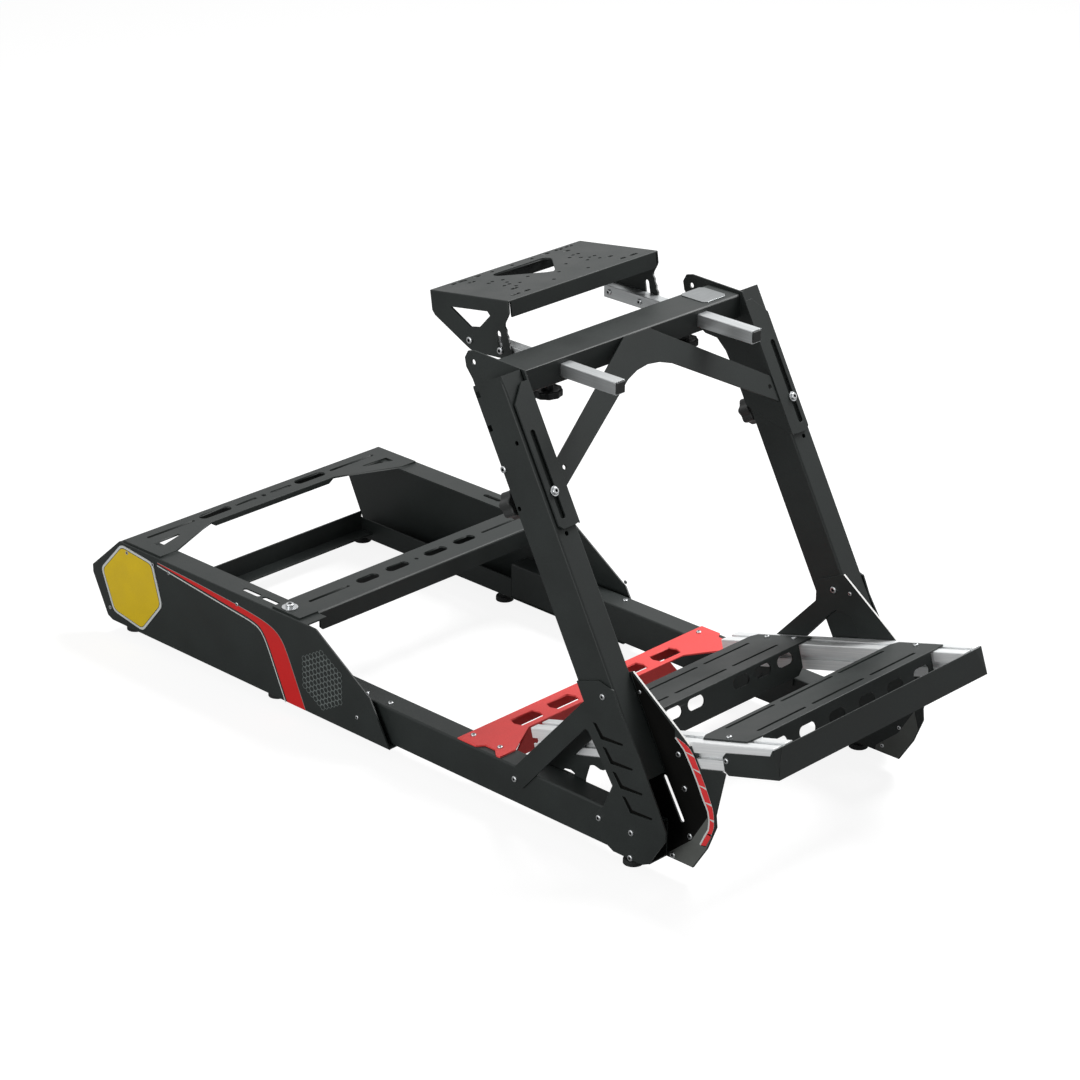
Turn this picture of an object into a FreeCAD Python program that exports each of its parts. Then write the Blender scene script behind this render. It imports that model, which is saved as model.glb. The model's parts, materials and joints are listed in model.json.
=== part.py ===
import FreeCAD, Part
import math
import os

import Sketcher

# A sim racing cockpit: +X forward to the pedals, +Y to the driver's left, +Z up, floor at zero, millimetres.
doc = FreeCAD.newDocument("cockpit")

DIMS = {
    # tubes of the frame
    "tube_outer": 273, "tube_wide": 40, "tube_wall": 2.5,
    "rail_tall": 60, "rail_rear": -260, "rail_front": 509,
    # folded side panels
    "panel_face": 285, "panel_sheet": 2.5, "panel_top": 167.5, "panel_bottom": 19,
    "panel_rear": -706.5, "panel_front": -7.5, "panel_rear_slope": 72, "panel_top_front": -167.5,
    "panel_flange": 42, "panel_flange_setback": 20.5, "lip_top": 54.5,
    "flange_slot_rear": -351, "flange_slot_front": -239.5, "flange_slot_inset": 20.5,
    "flange_slot_radius": 4.5,
    "number_plate_sheet": 1.6,
    # seat bars
    "bar_sheet": 3, "rear_bar_setback": 77, "rear_bar_deep": 93, "rear_bar_waist": 46, "bar_inset": 4,
    "front_bar_rear": -273.5, "front_bar_deep": 70, "front_bar_drop": 32, "thin_slot_radius": 3,
    "cross_member_setback": 81.5, "cross_member_deep": 30, "cross_member_low": 30.5, "cross_member_tall": 36,
    # leaning uprights and what slides on them
    "lean": 28.7, "upright_x": 369.5, "upright_z": 394.5, "upright_deep": 64, "upright_top": 322,
    "upright_low": -276,
    "clamp_inset": 17, "clamp_height": 147, "clamp_bolt_radius": 4, "spare_hole_height": 86,
    "slide_gap": 0.4, "front_gap": 2, "bracket_sheet": 3, "bracket_margin": 7.9, "bracket_low": 93,
    "bracket_high": 305,
    "clamp_slot_low": 111.5, "clamp_slot_high": 233, "clamp_slot_radius": 4.6,
    "brace_sheet": 3, "brace_high": 315.5,
    # wheel beam, arms and deck
    "beam_rear": 154.5, "beam_deep": 63, "beam_top": 672.5, "beam_tall": 36, "beam_sheet": 3,
    "arm_line": 145, "arm_side": 20, "arm_wall": 2, "arm_low": 645, "arm_rear": 30, "arm_front": 322.5,
    "arm_gap": 0.4, "cap_thick": 2, "pivot_x": 40, "lock_x": 102, "tilt_bolt_radius": 3, "tilt_bolt_gap": 0.3,
    "deck_tilt": 8, "deck_sheet": 3, "deck_height": 67, "deck_rear": -74.7, "deck_front": 86.3,
    "deck_lip": 25, "deck_rear_lip": 25,
    "cheek_gap": 0.4, "lock_slot_radius": 4.2, "deck_hole_radius": 3.2,
    "arm_knob_x": 181.5, "arm_knob_radius": 23, "arm_knob_low": 605, "arm_knob_tall": 11,
    "height_knob_radius": 22, "height_knob_long": 22, "height_knob_hub": 6, "hub_gap": 0.3,
    # gussets
    "gusset_sheet": 3,
    # pedal tray
    "tray_tilt": 16, "tray_x": 705, "tray_z": 213, "profile_side": 40, "profile_low": 4.5,
    "profile_rear": -476,
    "profile_front": -0.8, "profile_mouth": 8.2, "profile_groove": 9,
    "pedal_sheet": 2.5, "front_pedal_rear": -150, "front_pedal_front": -57,
    "rear_pedal_rear": -430, "rear_pedal_front": -312,
    "bumper_sheet": 2, "bumper_tall": 42.5,
    "heel_rear": 125, "heel_deep": 88, "heel_waist": 50, "heel_sheet": 2.5, "heel_drop": 41,
    "heel_rear_drop": 24,
    # levelling feet
    "foot_radius": 15, "foot_tall": 8, "stud_radius": 5, "rear_foot_setback": 64.5, "foot_mid": -295,
    "foot_front": 462,
}

dims = doc.addObject("Spreadsheet::Sheet", "dims")
for row, name in enumerate(DIMS, start=1):
    dims.set("A%d" % row, name)
    dims.set("B%d" % row, str(DIMS[name]))
    dims.setAlias("B%d" % row, name)
doc.recompute()


def size(*terms):
    """Sum of sheet sizes (a leading minus takes one away) and plain numbers, as a value and an expression."""
    value = 0.0
    words = ""
    for term in terms:
        if isinstance(term, tuple):
            part_value, part_words = size(*term)
            value += part_value
            words += part_words if part_words.startswith("-") else "+" + part_words
        elif isinstance(term, str):
            minus = term.startswith("-")
            name = term.lstrip("-")
            value += -DIMS[name] if minus else DIMS[name]
            words += ("-" if minus else "+") + "dims." + name
        else:
            value += term
            words += "%+g" % term
    return value, words.lstrip("+")


def flip(side, *terms):
    """The same sum on the left (side 1), or mirrored to the right (side -1)."""
    if side > 0:
        return terms
    mirrored = []
    for term in terms:
        if isinstance(term, tuple):
            mirrored.append(flip(side, *term))
        elif isinstance(term, str):
            mirrored.append(term.lstrip("-") if term.startswith("-") else "-" + term)
        else:
            mirrored.append(-term)
    return tuple(mirrored)


def start_body(name, base=None, tilt=None):
    """A body named for its piece, set at a point of the frame and leant about the Y axis by a sheet angle."""
    body = doc.addObject("PartDesign::Body", name)
    body.Label = name
    if base:
        spot = [size(term) for term in base]
        turn = FreeCAD.Rotation(FreeCAD.Vector(0, -1, 0), DIMS[tilt])
        body.Placement = FreeCAD.Placement(FreeCAD.Vector(*[value for value, words in spot]), turn)
        for axis, (value, words) in zip("xyz", spot):
            body.setExpression("Placement.Base." + axis, words)
        body.setExpression("Placement.Rotation.Angle", "dims." + tilt + " * 1 deg")
    return body


class Drawing:
    """The lines and arcs of one sketch, each size with the expression that drives it."""

    def __init__(self):
        self.geometry = []
        self.constraints = []
        self.words = []

    def add(self, shape):
        self.geometry.append(shape)
        return len(self.geometry) - 1

    def tie(self, *terms, words=None):
        self.constraints.append(Sketcher.Constraint(*terms))
        self.words.append(words)

    def pin(self, shape, point, along, up):
        """Holds one point at sheet-driven coordinates."""
        self.tie("DistanceX", -1, 1, shape, point, along[0], words=along[1])
        self.tie("DistanceY", -1, 1, shape, point, up[0], words=up[1])

    def put(self, sketch):
        sketch.addGeometry(self.geometry, False)
        sketch.addConstraint(self.constraints)
        for index, words in enumerate(self.words):
            if words:
                sketch.setExpression("Constraints[%d]" % index, words)


def draw_polygon(drawing, points):
    spots = [(size(along), size(up)) for along, up in points]
    corners = [FreeCAD.Vector(along[0], up[0], 0) for along, up in spots]
    ends = corners[1:] + corners[:1]
    lines = [drawing.add(Part.LineSegment(corner, end)) for corner, end in zip(corners, ends)]
    for line, after, (along, up) in zip(lines, lines[1:] + lines[:1], spots):
        drawing.tie("Coincident", line, 2, after, 1)
        drawing.pin(line, 1, along, up)


def draw_circle(drawing, along, up, radius):
    along, up, radius = size(along), size(up), size(radius)
    centre = FreeCAD.Vector(along[0], up[0], 0)
    circle = drawing.add(Part.Circle(centre, FreeCAD.Vector(0, 0, 1), radius[0]))
    drawing.pin(circle, 3, along, up)
    drawing.tie("Radius", circle, radius[0], words=radius[1])


def draw_slot(drawing, along1, up1, along2, up2, radius):
    """A round-ended slot between two centres."""
    along1, up1, along2, up2, radius = size(along1), size(up1), size(along2), size(up2), size(radius)
    one = FreeCAD.Vector(along1[0], up1[0], 0)
    two = FreeCAD.Vector(along2[0], up2[0], 0)
    turn = math.atan2(two.y - one.y, two.x - one.x)
    normal = FreeCAD.Vector(0, 0, 1)
    quarter = math.pi / 2
    out = FreeCAD.Vector(math.cos(turn + quarter), math.sin(turn + quarter), 0) * radius[0]
    start = drawing.add(Part.ArcOfCircle(Part.Circle(one, normal, radius[0]), turn + quarter,
                                         turn + 3 * quarter))
    end = drawing.add(Part.ArcOfCircle(Part.Circle(two, normal, radius[0]), turn - quarter, turn + quarter))
    low = drawing.add(Part.LineSegment(one - out, two - out))
    high = drawing.add(Part.LineSegment(two + out, one + out))
    for before, after in ((start, low), (low, end), (end, high), (high, start)):
        drawing.tie("Tangent", before, 2, after, 1)
    drawing.tie("Equal", start, end)
    drawing.pin(start, 3, along1, up1)
    drawing.pin(end, 3, along2, up2)
    drawing.tie("Radius", start, radius[0], words=radius[1])


DRAW = {"polygon": draw_polygon, "circle": draw_circle, "slot": draw_slot}


def add_sketch(body, plane, level, shapes):
    """A sketch of outlines and holes, parallel to one of the body's origin planes."""
    sketch = body.newObject("Sketcher::SketchObject", "Outline")
    for feature in body.Origin.OriginFeatures:
        if feature.Role == plane + "_Plane":
            sketch.AttachmentSupport = [(feature, "")]
    sketch.MapMode = "FlatFace"
    side = -1 if plane == "XZ" else 1
    value, words = size(flip(side, level))
    sketch.AttachmentOffset = FreeCAD.Placement(FreeCAD.Vector(0, 0, value), FreeCAD.Rotation())
    sketch.setExpression("AttachmentOffset.Base.z", words)
    drawing = Drawing()
    for shape in shapes:
        DRAW[shape[0]](drawing, *shape[1:])
    drawing.put(sketch)
    sketch.Visibility = False
    return sketch


def add_sheet(body, plane, level, thick, outline, holes=()):
    """Pads one flat piece of a body: from level to level + thick along the plane's own frame axis."""
    sketch = add_sketch(body, plane, level, (outline,) + tuple(holes))
    pad = body.newObject("PartDesign::Pad", "Pad")
    pad.Profile = sketch
    value, words = size(thick)
    pad.Length = value
    pad.setExpression("Length", words)
    pad.Reversed = plane == "XZ"
    body.Tip = pad


def add_holes(body, top, thick, holes):
    """Cuts holes down through a flat piece whose upper face lies at top."""
    sketch = add_sketch(body, "XY", top, holes)
    pocket = body.newObject("PartDesign::Pocket", "Holes")
    pocket.Profile = sketch
    value, words = size(thick)
    pocket.Length = value
    pocket.setExpression("Length", words)
    body.Tip = pocket


def box_outline(low1, high1, low2, high2):
    return ("polygon", [(low1, low2), (high1, low2), (high1, high2), (low1, high2)])


def wall_level(side, outer, thick):
    """Where a wall whose outer face stands at +-outer begins along Y."""
    return flip(side, outer, flip(-1, thick)) if side > 0 else flip(-1, outer)


RAIL_LOW = ("panel_bottom", "panel_sheet")
RAIL_TOP = ("panel_bottom", "panel_sheet", "rail_tall")
TUBE_INNER = ("tube_outer", "-tube_wide")
SLOT_LINE = ("panel_face", "-flange_slot_inset")
CLAMP_LINE = ("tube_outer", "-clamp_inset")
PANEL_TOP_REAR = ("panel_rear", "panel_rear_slope")
CROSS_MEMBER_REAR = ("panel_rear", "cross_member_setback")
SIDES = (("right", -1), ("left", 1))

# side panels: outer face, top flange with the seat-bar slot, bottom flange and inner lip
for word, side in SIDES:
    body = start_body(word + "_side_panel")
    low, top = "panel_bottom", "panel_top"
    face = [(PANEL_TOP_REAR, top), ("panel_rear", (low, 86)), ("panel_rear", (low, 73)),
            (("panel_rear", 33), (low, 6)), (("panel_rear", 46), low), ("panel_front", low),
            (("panel_front", -42), (low, 72.5)), ("panel_top_front", top)]
    add_sheet(body, "XZ", wall_level(side, "panel_face", "panel_sheet"), "panel_sheet", ("polygon", face))
    outer = flip(side, "panel_face")
    inner = flip(side, "panel_face", "-panel_flange")
    line = flip(side, SLOT_LINE)
    slots = [("slot", "flange_slot_rear", line, ("flange_slot_rear", 30), line, "flange_slot_radius"),
             ("slot", ("flange_slot_rear", 45.5), line, "flange_slot_front", line, "flange_slot_radius")]
    add_sheet(body, "XY", ("panel_top", "-panel_sheet"), "panel_sheet",
              box_outline((PANEL_TOP_REAR, 1), ("panel_top_front", "-panel_flange_setback"), inner,
                          outer), slots)
    add_sheet(body, "XY", "panel_bottom", "panel_sheet",
              box_outline(("panel_rear", 47), ("panel_front", -1), flip(side, TUBE_INNER), outer))
    add_sheet(body, "XZ", wall_level(side, (TUBE_INNER, "panel_sheet"), "panel_sheet"), "panel_sheet",
              box_outline(CROSS_MEMBER_REAR, ("rail_rear", -1), "panel_bottom", "lip_top"))

# number plates: hexagons standing on the rear end of each panel
for word, side in SIDES:
    body = start_body(word + "_number_plate")
    low, rear = "panel_bottom", "panel_rear"
    plate = [((rear, 77), (low, 145)), ((rear, 155), (low, 137)), ((rear, 175), (low, 66.5)),
             ((rear, 123), (low, 6.5)), ((rear, 50), (low, 18.5)), ((rear, 23), (low, 87.5))]
    add_sheet(body, "XZ", wall_level(side, ("panel_face", "number_plate_sheet"), "number_plate_sheet"),
              "number_plate_sheet", ("polygon", plate))

# lower rails: rectangular tubes on the panels' bottom flanges
for word, side in SIDES:
    body = start_body(word + "_lower_rail")
    wall = box_outline("rail_rear", "rail_front", RAIL_LOW, RAIL_TOP)
    add_sheet(body, "XZ", wall_level(side, "tube_outer", "tube_wall"), "tube_wall", wall)
    across = box_outline("rail_rear", "rail_front", flip(side, TUBE_INNER), flip(side, "tube_outer"))
    add_sheet(body, "XY", RAIL_LOW, "tube_wall", across)
    add_sheet(body, "XY", (RAIL_TOP, "-tube_wall"), "tube_wall", across)
    add_sheet(body, "XZ", wall_level(side, (TUBE_INNER, "tube_wall"), "tube_wall"), "tube_wall", wall)

# rear seat bar: wide lobes on the panel flanges, a narrow middle, slots for the seat brackets
body = start_body("rear_seat_bar")
rear = ("panel_rear", "rear_bar_setback")
front = (rear, "rear_bar_deep")
waist = (rear, "rear_bar_waist")
half = ("panel_face", "-bar_inset")
top = [(rear, flip(-1, half)), (front, flip(-1, half)), (front, (flip(-1, half), 33)),
       ((waist, 9), (flip(-1, half), 121)), (waist, (flip(-1, half), 146)), (waist, (half, -146)),
       ((waist, 9), (half, -121)), (front, (half, -33)), (front, half), (rear, half)]
line = (rear, 21.5)
holes = [("circle", line, 0, 4.5)]
for side in (-1, 1):
    holes.append(("slot", line, flip(side, half, -129), line, flip(side, half, -35), "thin_slot_radius"))
    holes.append(("slot", (line, -1), flip(side, 80), (line, -1), flip(side, 128), 8.5))
    holes.append(("slot", line, flip(side, 18), line, flip(side, 58), "thin_slot_radius"))
    holes.append(("polygon", [((rear, 46), flip(side, 256)), ((rear, 44), flip(side, 203)),
                              ((rear, 49), flip(side, 203)), ((rear, 64), flip(side, 256))]))
add_sheet(body, "XY", "panel_top", "bar_sheet", ("polygon", top), holes)
add_sheet(body, "YZ", (waist, "-bar_sheet"), "bar_sheet",
          ("polygon", [((flip(-1, half), 146), "panel_top"), ((flip(-1, half), 156), ("panel_top", -6.5)),
                       ((half, -156), ("panel_top", -6.5)), ((half, -146), "panel_top")]))
add_sheet(body, "YZ", rear, "bar_sheet",
          box_outline((flip(-1, half), 45), (half, -45), ("panel_top", -18), "panel_top"))

# front seat bar: a channel between the panels with a bolted tongue on each flange
body = start_body("front_seat_bar")
rear = "front_bar_rear"
front = ("front_bar_rear", "front_bar_deep")
half = ("panel_face", "-panel_flange", 1)
tongue = ("panel_face", "-bar_inset", -1)
top = [(rear, flip(-1, half)), ((rear, 3), flip(-1, half)), ((rear, 3), flip(-1, tongue)),
       ((front, -4), flip(-1, tongue)), ((front, -4), flip(-1, half)), (front, flip(-1, half)),
       (front, half), ((front, -4), half), ((front, -4), tongue), ((rear, 3), tongue), ((rear, 3), half),
       (rear, half)]
line = (rear, 31)
holes = [("circle", line, 0, 3.5)]
for side in (-1, 1):
    holes.append(("slot", line, flip(side, 148), line, flip(side, 227), "thin_slot_radius"))
    holes.append(("slot", line, flip(side, 93), line, flip(side, 119), 9))
    holes.append(("slot", line, flip(side, 28), line, flip(side, 56), 9))
    holes.append(("circle", (rear, 26), flip(side, SLOT_LINE), 4.2))
add_sheet(body, "XY", "panel_top", "bar_sheet", ("polygon", top), holes)
drop = ("panel_top", "bar_sheet", "-front_bar_drop")
inner = ("panel_face", "-panel_flange", -1)
deep = [(flip(-1, inner), (drop, 5)), ((flip(-1, inner), 5), drop), ((inner, -5), drop),
        (inner, (drop, 5)), (inner, "panel_top"), (flip(-1, inner), "panel_top")]
add_sheet(body, "YZ", (front, "-bar_sheet"), "bar_sheet", ("polygon", deep))
add_sheet(body, "YZ", rear, "bar_sheet", ("polygon", deep))

# rear cross member: an angle between the lips of the panels
body = start_body("rear_cross_member")
span = box_outline(CROSS_MEMBER_REAR, (CROSS_MEMBER_REAR, "cross_member_deep"), flip(-1, TUBE_INNER),
                   TUBE_INNER)
add_sheet(body, "XY", "cross_member_low", "bar_sheet", span)
top = ("cross_member_low", "cross_member_tall")
add_sheet(body, "YZ", CROSS_MEMBER_REAR, "bar_sheet",
          box_outline(flip(-1, TUBE_INNER), TUBE_INNER, "cross_member_low", top))

# uprights: leaning rectangular tubes; their own frame has X out of the front face and Z along the tube
for word, side in SIDES:
    body = start_body(word + "_upright", ("upright_x", 0, "upright_z"), "lean")
    rear = flip(-1, "upright_deep")
    wall = box_outline(rear, 0, "upright_low", "upright_top")
    square = [("polygon", [((rear, 3), up), ((rear, 11), up), ((rear, 11), up + 9), ((rear, 3), up + 9)])
              for up in (304, 254)]
    round_holes = [("circle", -15, 227, 3.5), ("circle", (rear, 7), 139, 3.5)]
    add_sheet(body, "XZ", wall_level(side, "tube_outer", "tube_wall"), "tube_wall", wall,
              square + round_holes)
    across = box_outline(flip(side, TUBE_INNER), flip(side, "tube_outer"), "upright_low", "upright_top")
    line = flip(side, CLAMP_LINE)
    bolt = ("circle", line, "clamp_height", ("clamp_bolt_radius", 0.4))
    spare = ("circle", line, "spare_hole_height", 3.5)
    add_sheet(body, "YZ", flip(-1, "tube_wall"), "tube_wall", across, [bolt, spare])
    add_sheet(body, "YZ", rear, "tube_wall", across, [bolt])
    add_sheet(body, "XZ", wall_level(side, (TUBE_INNER, "tube_wall"), "tube_wall"), "tube_wall", wall)

# gussets: outer plates on the tubes' outer faces, inner plates on their inner faces


def on_frame(points):
    """Points of a gusset, given in its own numbers, hung on the upright and the rail."""
    return [(("upright_x", round(along - 369.5, 2)), (RAIL_LOW, round(up - 27, 2))) for along, up in points]


for word, side in SIDES:
    body = start_body(word + "_outer_gusset")
    plate = [(368.5, 268), (411, 283), (439, 277), (451.5, 250), (491.5, 189), (527.5, 122), (542, 92),
             (542, 78), (512, 31), (500, 25), (444, 25), (404, 45), (396, 62), (424, 90), (440, 128.5),
             (417, 163), (392, 198), (386, 199), (264, 58), (252, 56), (243, 64), (246, 86), (383, 241)]
    treads = []
    for step in range(4):
        right, down = 19.3 * step, -31.8 * step
        tread = [(401, 215), (408, 215), (421, 200), (459, 201), (458, 197.5), (417, 193.5)]
        treads.append(("polygon", on_frame([(along + right, up + down) for along, up in tread])))
    add_sheet(body, "XZ", wall_level(side, ("tube_outer", "gusset_sheet"), "gusset_sheet"), "gusset_sheet",
              ("polygon", on_frame(plate)), treads)
for word, side in SIDES:
    body = start_body(word + "_inner_gusset")
    plate = [(385, 266), (436, 291), (523, 230), (546, 213), (564, 184.5), (603, 195.5), (611, 193.5),
             (596, 123), (598, 105), (582, 65), (557, 26), (444, 25), (404, 45), (396, 62), (430, 95),
             (478, 178), (465, 214), (452.5, 229), (424.5, 229), (414, 219), (270, 56), (252, 56),
             (243, 64), (246, 80), (385, 232)]
    (high_along, high_up), (low_along, low_up) = on_frame([(501.5, 149), (534.5, 94)])
    slot = ("slot", high_along, high_up, low_along, low_up, 4)
    level = wall_level(side, TUBE_INNER, "gusset_sheet")
    add_sheet(body, "XZ", level, "gusset_sheet", ("polygon", on_frame(plate)), [slot])
    bridge = [(283, 75), (321, 118.2), (475, 160), (458, 136), (430, 130), (390, 120), (383, 115.5),
              (377, 114.5), (371, 116), (364.5, 117), (356, 114), (354, 110), (347.5, 88), (347.5, 75)]
    notch = [(303, 87.2), (308, 91), (319.5, 93), (327, 90), (326, 87.2)]
    add_sheet(body, "XZ", level, "gusset_sheet", ("polygon", on_frame(bridge)),
              [("polygon", on_frame(notch))])

# pedal tray frame: X along the pedal rails, Z out of their top faces
TRAY = ("tray_x", 0, "tray_z")
PROFILE_TOP = ("profile_low", "profile_side")
PROFILE_OUTER = ("tube_outer", "-tube_wide", "-gusset_sheet")
PROFILE_INNER = (PROFILE_OUTER, "-profile_side")
for word, side in SIDES:
    body = start_body(word + "_pedal_rail", TRAY, "tray_tilt")
    mid = flip(side, PROFILE_OUTER, -DIMS["profile_side"] / 2)
    centre = ("profile_low", DIMS["profile_side"] / 2)
    ring = []
    reach = DIMS["profile_side"] / 2
    mouth = DIMS["profile_mouth"] / 2
    pocket = DIMS["profile_groove"]
    quarter = [(reach, -mouth), (reach - 3, -mouth), (reach - 3, -mouth - 5), (reach - pocket, -mouth),
               (reach - pocket, mouth), (reach - 3, mouth + 5), (reach - 3, mouth), (reach, mouth),
               (reach, reach - 1), (reach - 1, reach)]
    for turn in range(4):
        cosine, sine = ((1, 0), (0, 1), (-1, 0), (0, -1))[turn]
        for along, up in quarter:
            ring.append(((mid, along * cosine - up * sine), (centre, along * sine + up * cosine)))
    add_sheet(body, "YZ", "profile_rear", ("profile_front", "-profile_rear"), ("polygon", ring),
              [("circle", mid, centre, 3.4)])

# pedal plates: folded plates with two rows of slots, bolted on the rails
for word, level, windows in (("rear", 32, (50, 99, 150)), ("front", 23, (33, 97, 158))):
    rear, front = word + "_pedal_rear", word + "_pedal_front"
    body = start_body(word + "_pedal_plate", TRAY, "tray_tilt")
    half = (PROFILE_OUTER, -13)
    top = [((rear, 8), flip(-1, half)), ((front, -2), flip(-1, half)), (front, (flip(-1, half), 24)),
           (front, (half, -24)), ((front, -2), half), ((rear, 8), half), (rear, (half, -14)),
           (rear, (flip(-1, half), 14))]
    holes = []
    for row in ((rear, 13), (front, -21)) if word == "front" else ((rear, 26), (front, -33)):
        holes.append(("slot", row, -54, row, 54, "thin_slot_radius"))
        holes.append(("slot", row, 74, row, 172, "thin_slot_radius"))
        holes.append(("slot", row, -172, row, -74, "thin_slot_radius"))
    add_sheet(body, "XY", PROFILE_TOP, "pedal_sheet", ("polygon", top), holes)
    flange = (PROFILE_INNER, -5)
    drop = [(flip(-1, flange), PROFILE_TOP), (flip(-1, flange), 10), ((flip(-1, flange), 12), 0),
            ((flange, -12), 0), (flange, 10), (flange, PROFILE_TOP)]
    openings = []
    for side in (-1, 1):
        for middle in windows:
            openings.append(("slot", flip(side, middle, -9), level, flip(side, middle, 9), level, 9))
    add_sheet(body, "YZ", (front, "-pedal_sheet"), "pedal_sheet", ("polygon", drop), openings)
    add_sheet(body, "YZ", rear, "pedal_sheet", box_outline(flip(-1, flange), flange, (PROFILE_TOP, -14),
                                                           PROFILE_TOP))

# front bumper: a folded sheet round the front ends of the pedal rails
body = start_body("front_bumper", TRAY, "tray_tilt")
outer = (PROFILE_OUTER, "bumper_sheet")
face = [(flip(-1, outer), 0), (outer, 0), ((outer, -17), "bumper_tall"),
        ((flip(-1, outer), 17), "bumper_tall")]
add_sheet(body, "YZ", -0.5, "bumper_sheet", ("polygon", face))
for side in (-1, 1):
    wing = [(-98, 6), (-92, 0), (("bumper_sheet", -0.5), 0), (("bumper_sheet", -0.5), 2),
            (-1, ("bumper_tall", 0.5)), (-8, 34), (-90, 33), (-97, 27)]
    add_sheet(body, "XZ", wall_level(side, outer, "bumper_sheet"), "bumper_sheet", ("polygon", wing))

# heel rest: a red folded plate behind the pedal rails, with wide lobes on the lower rails and a narrow middle
body = start_body("heel_rest")
rear = "heel_rear"
front = ("heel_rear", "heel_deep")
waist = ("heel_rear", "heel_waist")
half = ("tube_outer", -2)
top = [(rear, flip(-1, half)), ((rear, 38), flip(-1, half)), ((rear, 46), (flip(-1, half), 12)),
       ((front, -22), (flip(-1, half), 12)), ((front, -8), flip(-1, half)), (front, flip(-1, half)),
       (front, (flip(-1, half), 32)), (waist, (flip(-1, half), 99)), (waist, (half, -99)),
       (front, (half, -32)), (front, half), ((front, -8), half), ((front, -22), (half, -12)),
       ((rear, 46), (half, -12)),
       ((rear, 38), half), (rear, half)]
holes = []
for middle in (-153, -76.5, 0, 76.5, 153):
    hexagon = [(28, middle - 28), (15.5, middle - 23), (15.5, middle + 23), (28, middle + 28),
               (41, middle + 23), (41, middle - 23)]
    holes.append(("polygon", [((rear, along), up) for along, up in hexagon]))
add_sheet(body, "XY", RAIL_TOP, "heel_sheet", ("polygon", top), holes)
width = (TUBE_INNER, -4)
drop = (RAIL_TOP, "-heel_drop")
apron = [((flip(-1, half), 66), drop), ((half, -95), drop), ((half, -129), RAIL_TOP),
         ((flip(-1, half), 100), RAIL_TOP)]
add_sheet(body, "YZ", (waist, "-heel_sheet"), "heel_sheet", ("polygon", apron))
add_sheet(body, "YZ", rear, "heel_sheet", box_outline(flip(-1, width), width,
                                                      (RAIL_TOP, "-heel_rear_drop"), RAIL_TOP))

# levelling feet: pads on studs under the panels' bottom flanges and the rails' front ends
FOOT_LINE = ("tube_outer", -DIMS["tube_wide"] / 2)
FEET = (("rear", ("panel_rear", "rear_foot_setback"), "panel_bottom"), ("mid", "foot_mid", "panel_bottom"),
        ("front", "foot_front", RAIL_LOW))
for spot, along, under in FEET:
    for word, side in SIDES:
        body = start_body(word + "_" + spot + "_foot")
        place = (along, flip(side, FOOT_LINE))
        add_sheet(body, "XY", 0, "foot_tall", ("circle",) + place + ("foot_radius",))
        add_sheet(body, "XY", "foot_tall", (under, "-foot_tall"), ("circle",) + place + ("stud_radius",))

# slide brackets: an inner web with an ear and a slotted flange in front of the upright
WEB_OUTER = (TUBE_INNER, "-slide_gap")
WEB_INNER = (TUBE_INNER, "-slide_gap", "-bracket_sheet")
FRONT = ("front_gap", "bracket_sheet")
for word, side in SIDES:
    body = start_body(word + "_slide_bracket", ("upright_x", 0, "upright_z"), "lean")
    web = [(FRONT, "bracket_low"), (FRONT, 319), (-80, 369), (-92, 372), (-103, 365), (-107, 352),
           (-103, 332), (-103, 292), (-96, 280), (-76, 267), (-68, 245), (-66, 218), (-66, 158),
           (-58, 150)]
    add_sheet(body, "XZ", wall_level(side, WEB_OUTER, "bracket_sheet"), "bracket_sheet", ("polygon", web),
              [("circle", -89, 354, 4)])
    edge = (CLAMP_LINE, "clamp_slot_radius", "bracket_margin")
    flange = [(flip(side, WEB_INNER), ("bracket_low", 2)), (flip(side, WEB_INNER, 10), "bracket_low"),
              (flip(side, edge, -6), "bracket_low"), (flip(side, edge), ("bracket_low", 6)),
              (flip(side, edge), ("bracket_high", -26)), (flip(side, edge, -24), "bracket_high"),
              (flip(side, WEB_INNER), "bracket_high")]
    line = flip(side, CLAMP_LINE)
    add_sheet(body, "YZ", "front_gap", "bracket_sheet", ("polygon", flange),
              [("slot", line, "clamp_slot_low", line, "clamp_slot_high", "clamp_slot_radius")])

# wheel beam: a box between the brackets with square windows for the arms
body = start_body("wheel_beam")
front = ("beam_rear", "beam_deep")
low = ("beam_top", "-beam_tall")
ends = (flip(-1, WEB_INNER), WEB_INNER)
windows = []
studs = []
for side in (-1, 1):
    inner = flip(side, "arm_line", -DIMS["arm_side"] / 2, "-arm_gap")
    outer = flip(side, "arm_line", DIMS["arm_side"] / 2, "arm_gap")
    windows.append(box_outline(inner, outer, ("arm_low", "-arm_gap"), ("arm_low", "arm_side", "arm_gap")))
    studs.append(("circle", "arm_knob_x", flip(side, "arm_line"), ("clamp_bolt_radius", 0.4)))
wall = box_outline(ends[0], ends[1], low, "beam_top")
add_sheet(body, "YZ", "beam_rear", "beam_sheet", wall, windows)
across = box_outline("beam_rear", front, ends[0], ends[1])
add_sheet(body, "XY", ("beam_top", "-beam_sheet"), "beam_sheet", across)
add_sheet(body, "XY", low, "beam_sheet", across, studs)
add_sheet(body, "YZ", (front, "-beam_sheet"), "beam_sheet", wall, windows)

# label plate: a bare plate on the beam near its left end
body = start_body("label_plate")
near, far = (WEB_INNER, -68), (WEB_INNER, -17.5)
rear, edge = ("beam_rear", 2), (front, -9)
plate = [((rear, 6), near), ((edge, -6), near), (edge, (near, 6)), (edge, (far, -6)), ((edge, -6), far),
         ((rear, 6), far), (rear, (far, -6)), (rear, (near, 6))]
add_sheet(body, "XY", "beam_top", 1.2, ("polygon", plate))

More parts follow.
